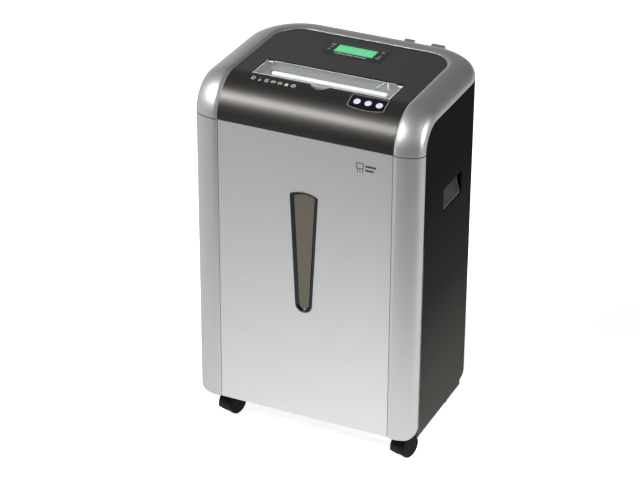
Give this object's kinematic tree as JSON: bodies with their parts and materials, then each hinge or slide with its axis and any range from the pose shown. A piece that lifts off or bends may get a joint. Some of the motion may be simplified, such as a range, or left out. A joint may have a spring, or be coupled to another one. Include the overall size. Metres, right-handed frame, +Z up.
{
  "type": "paper shredder",
  "caption": "Free-standing office paper shredder: silver-banded black hood with flap, display and keys, brushed front on a pull-out bin, window strip, grips, casters and inner cutting block.",
  "frame": {"origin": "centre of the bounding box on the floor under the casters", "axes": "+X to the right seen from the front, +Y to the back, +Z up"},
  "size_m": [0.39, 0.304, 0.629],
  "materials": {
    "silver_paint": "satin silver paint",
    "brushed_front": "fine horizontal brushing",
    "black_cover": "satin charcoal moulding",
    "black_shell": "fine-grained black moulding",
    "grey_plastic": "matt",
    "white_plastic": "gloss",
    "clear_flap": "clear acrylic",
    "smoked_lens": "smoked acrylic",
    "navy_gloss": "gloss",
    "screen": "lit green screen in a dark module",
    "key_lens": "translucent white",
    "board": "fibre board with parts",
    "sheet_steel": "zinc-plated sheet",
    "tool_steel": "ground and oiled",
    "gear_steel": "sintered",
    "gear_nylon": "moulded nylon",
    "bronze": "sintered bronze",
    "motor_case": "black enamel",
    "rocker_red": "gloss",
    "caster_black": "moulded nylon",
    "tyre": "soft tread"
  },
  "bodies": {
    "cabinet": {"base_plate": "black_shell", "caster_sockets": "sheet_steel", "left_side_panel": "black_shell", "right_side_panel": "black_shell", "rear_cover": "black_shell", "rear_lugs": "silver_paint", "cover_screws": "sheet_steel", "left_pillar": "silver_paint", "right_pillar": "silver_paint", "left_grip_cup": "black_shell", "right_grip_cup": "black_shell", "hood_rim": "silver_paint", "top_cover": "black_cover", "feed_funnel": "grey_plastic", "guide_bar": "white_plastic", "flap_pins": "sheet_steel", "flap_sensor": "black_shell", "lcd_bezel": "navy_gloss", "lcd_module": "screen", "key_bezel": "navy_gloss", "key_board": "board", "deck": "sheet_steel", "left_cutter_plate": "sheet_steel", "right_cutter_plate": "sheet_steel", "cutter_bushes": "bronze", "tie_rods": "sheet_steel", "front_stripper": "black_shell", "rear_stripper": "black_shell", "intermediate_pin": "sheet_steel", "gearbox_plate": "sheet_steel", "motor": "motor_case", "control_board": "board", "power_inlet": "navy_gloss", "bin_rails": "sheet_steel"},
    "drawer": {"front_fascia": "brushed_front", "window_frame": "navy_gloss", "window_lens": "smoked_lens", "waste_bin": "black_shell"},
    "flap": {"safety_flap": "clear_flap"},
    "stop_button": {"stop_key": "key_lens"},
    "reverse_button": {"reverse_key": "key_lens"},
    "forward_button": {"forward_key": "key_lens"},
    "switch": {"power_rocker": "rocker_red"},
    "rear_shaft": {"rear_cutter": "tool_steel", "rear_sync_gear": "gear_steel", "final_gear": "gear_steel"},
    "front_shaft": {"front_cutter": "tool_steel", "front_sync_gear": "gear_steel"},
    "intermediate": {"intermediate_gear": "gear_nylon"},
    "rotor": {"motor_pinion": "gear_steel", "cooling_fan": "white_plastic"},
    "caster_fl": {"caster_fl_housing": "caster_black"},
    "wheels_fl": {"caster_fl_wheels": "tyre"},
    "caster_fr": {"caster_fr_housing": "caster_black"},
    "wheels_fr": {"caster_fr_wheels": "tyre"},
    "caster_rl": {"caster_rl_housing": "caster_black"},
    "wheels_rl": {"caster_rl_wheels": "tyre"},
    "caster_rr": {"caster_rr_housing": "caster_black"},
    "wheels_rr": {"caster_rr_wheels": "tyre"}
  },
  "joints": [
    {"name": "bin_slide", "type": "slide", "parent": "cabinet", "child": "drawer", "axis": [0, -1, 0], "range_m": [0, 0.24]},
    {"name": "flap_hinge", "type": "hinge", "parent": "cabinet", "child": "flap", "pos_m": [0, -0.0352, 0.6231], "axis": [-1, 0, 0], "range_deg": [0, 95]},
    {"name": "stop_press", "type": "slide", "parent": "cabinet", "child": "stop_button", "axis": [0, 0.3338, -0.9426], "range_m": [0, 0.0012], "stiffness_N_per_m": 400, "springref_m": -0.001},
    {"name": "reverse_press", "type": "slide", "parent": "cabinet", "child": "reverse_button", "axis": [0, 0.3338, -0.9426], "range_m": [0, 0.0012], "stiffness_N_per_m": 400, "springref_m": -0.001},
    {"name": "forward_press", "type": "slide", "parent": "cabinet", "child": "forward_button", "axis": [0, 0.3338, -0.9426], "range_m": [0, 0.0012], "stiffness_N_per_m": 400, "springref_m": -0.001},
    {"name": "switch_rock", "type": "hinge", "parent": "cabinet", "child": "switch", "pos_m": [0.07, 0.1425, 0.5445], "axis": [1, 0, 0], "range_deg": [-16, 0]},
    {"name": "rear_cutter_spin", "type": "hinge", "parent": "cabinet", "child": "rear_shaft", "pos_m": [0, -0.034, 0.535], "axis": [1, 0, 0], "continuous": true},
    {"name": "front_cutter_spin", "type": "hinge", "parent": "cabinet", "child": "front_shaft", "pos_m": [0, -0.066, 0.535], "axis": [1, 0, 0], "continuous": true},
    {"name": "intermediate_spin", "type": "hinge", "parent": "cabinet", "child": "intermediate", "pos_m": [-0.145, 0.02, 0.535], "axis": [1, 0, 0], "continuous": true},
    {"name": "motor_spin", "type": "hinge", "parent": "cabinet", "child": "rotor", "pos_m": [-0.05, 0.065, 0.535], "axis": [1, 0, 0], "continuous": true},
    {"name": "caster_fl_swivel", "type": "hinge", "parent": "cabinet", "child": "caster_fl", "pos_m": [-0.153, -0.115, 0.04], "axis": [0, 0, 1], "continuous": true},
    {"name": "caster_fl_roll", "type": "hinge", "parent": "caster_fl", "child": "wheels_fl", "pos_m": [-0.15058, -0.1053, 0.02], "axis": [-0.9703, 0.2419, 0], "continuous": true},
    {"name": "caster_fr_swivel", "type": "hinge", "parent": "cabinet", "child": "caster_fr", "pos_m": [0.161, -0.115, 0.04], "axis": [0, 0, 1], "continuous": true},
    {"name": "caster_fr_roll", "type": "hinge", "parent": "caster_fr", "child": "wheels_fr", "pos_m": [0.16342, -0.1053, 0.02], "axis": [-0.9703, 0.2419, 0], "continuous": true},
    {"name": "caster_rl_swivel", "type": "hinge", "parent": "cabinet", "child": "caster_rl", "pos_m": [-0.154, 0.063, 0.04], "axis": [0, 0, 1], "continuous": true},
    {"name": "caster_rl_roll", "type": "hinge", "parent": "caster_rl", "child": "wheels_rl", "pos_m": [-0.15574, 0.07285, 0.02], "axis": [-0.9848, -0.1736, 0], "continuous": true},
    {"name": "caster_rr_swivel", "type": "hinge", "parent": "cabinet", "child": "caster_rr", "pos_m": [0.154, 0.063, 0.04], "axis": [0, 0, 1], "continuous": true},
    {"name": "caster_rr_roll", "type": "hinge", "parent": "caster_rr", "child": "wheels_rr", "pos_m": [0.15226, 0.07285, 0.02], "axis": [-0.9848, -0.1736, 0], "continuous": true}
  ],
  "couplings": [
    {"joint": "front_cutter_spin", "follows": "rear_cutter_spin", "ratio": -1},
    {"joint": "intermediate_spin", "follows": "rear_cutter_spin", "ratio": -3.5},
    {"joint": "motor_spin", "follows": "rear_cutter_spin", "ratio": 14}
  ]
}
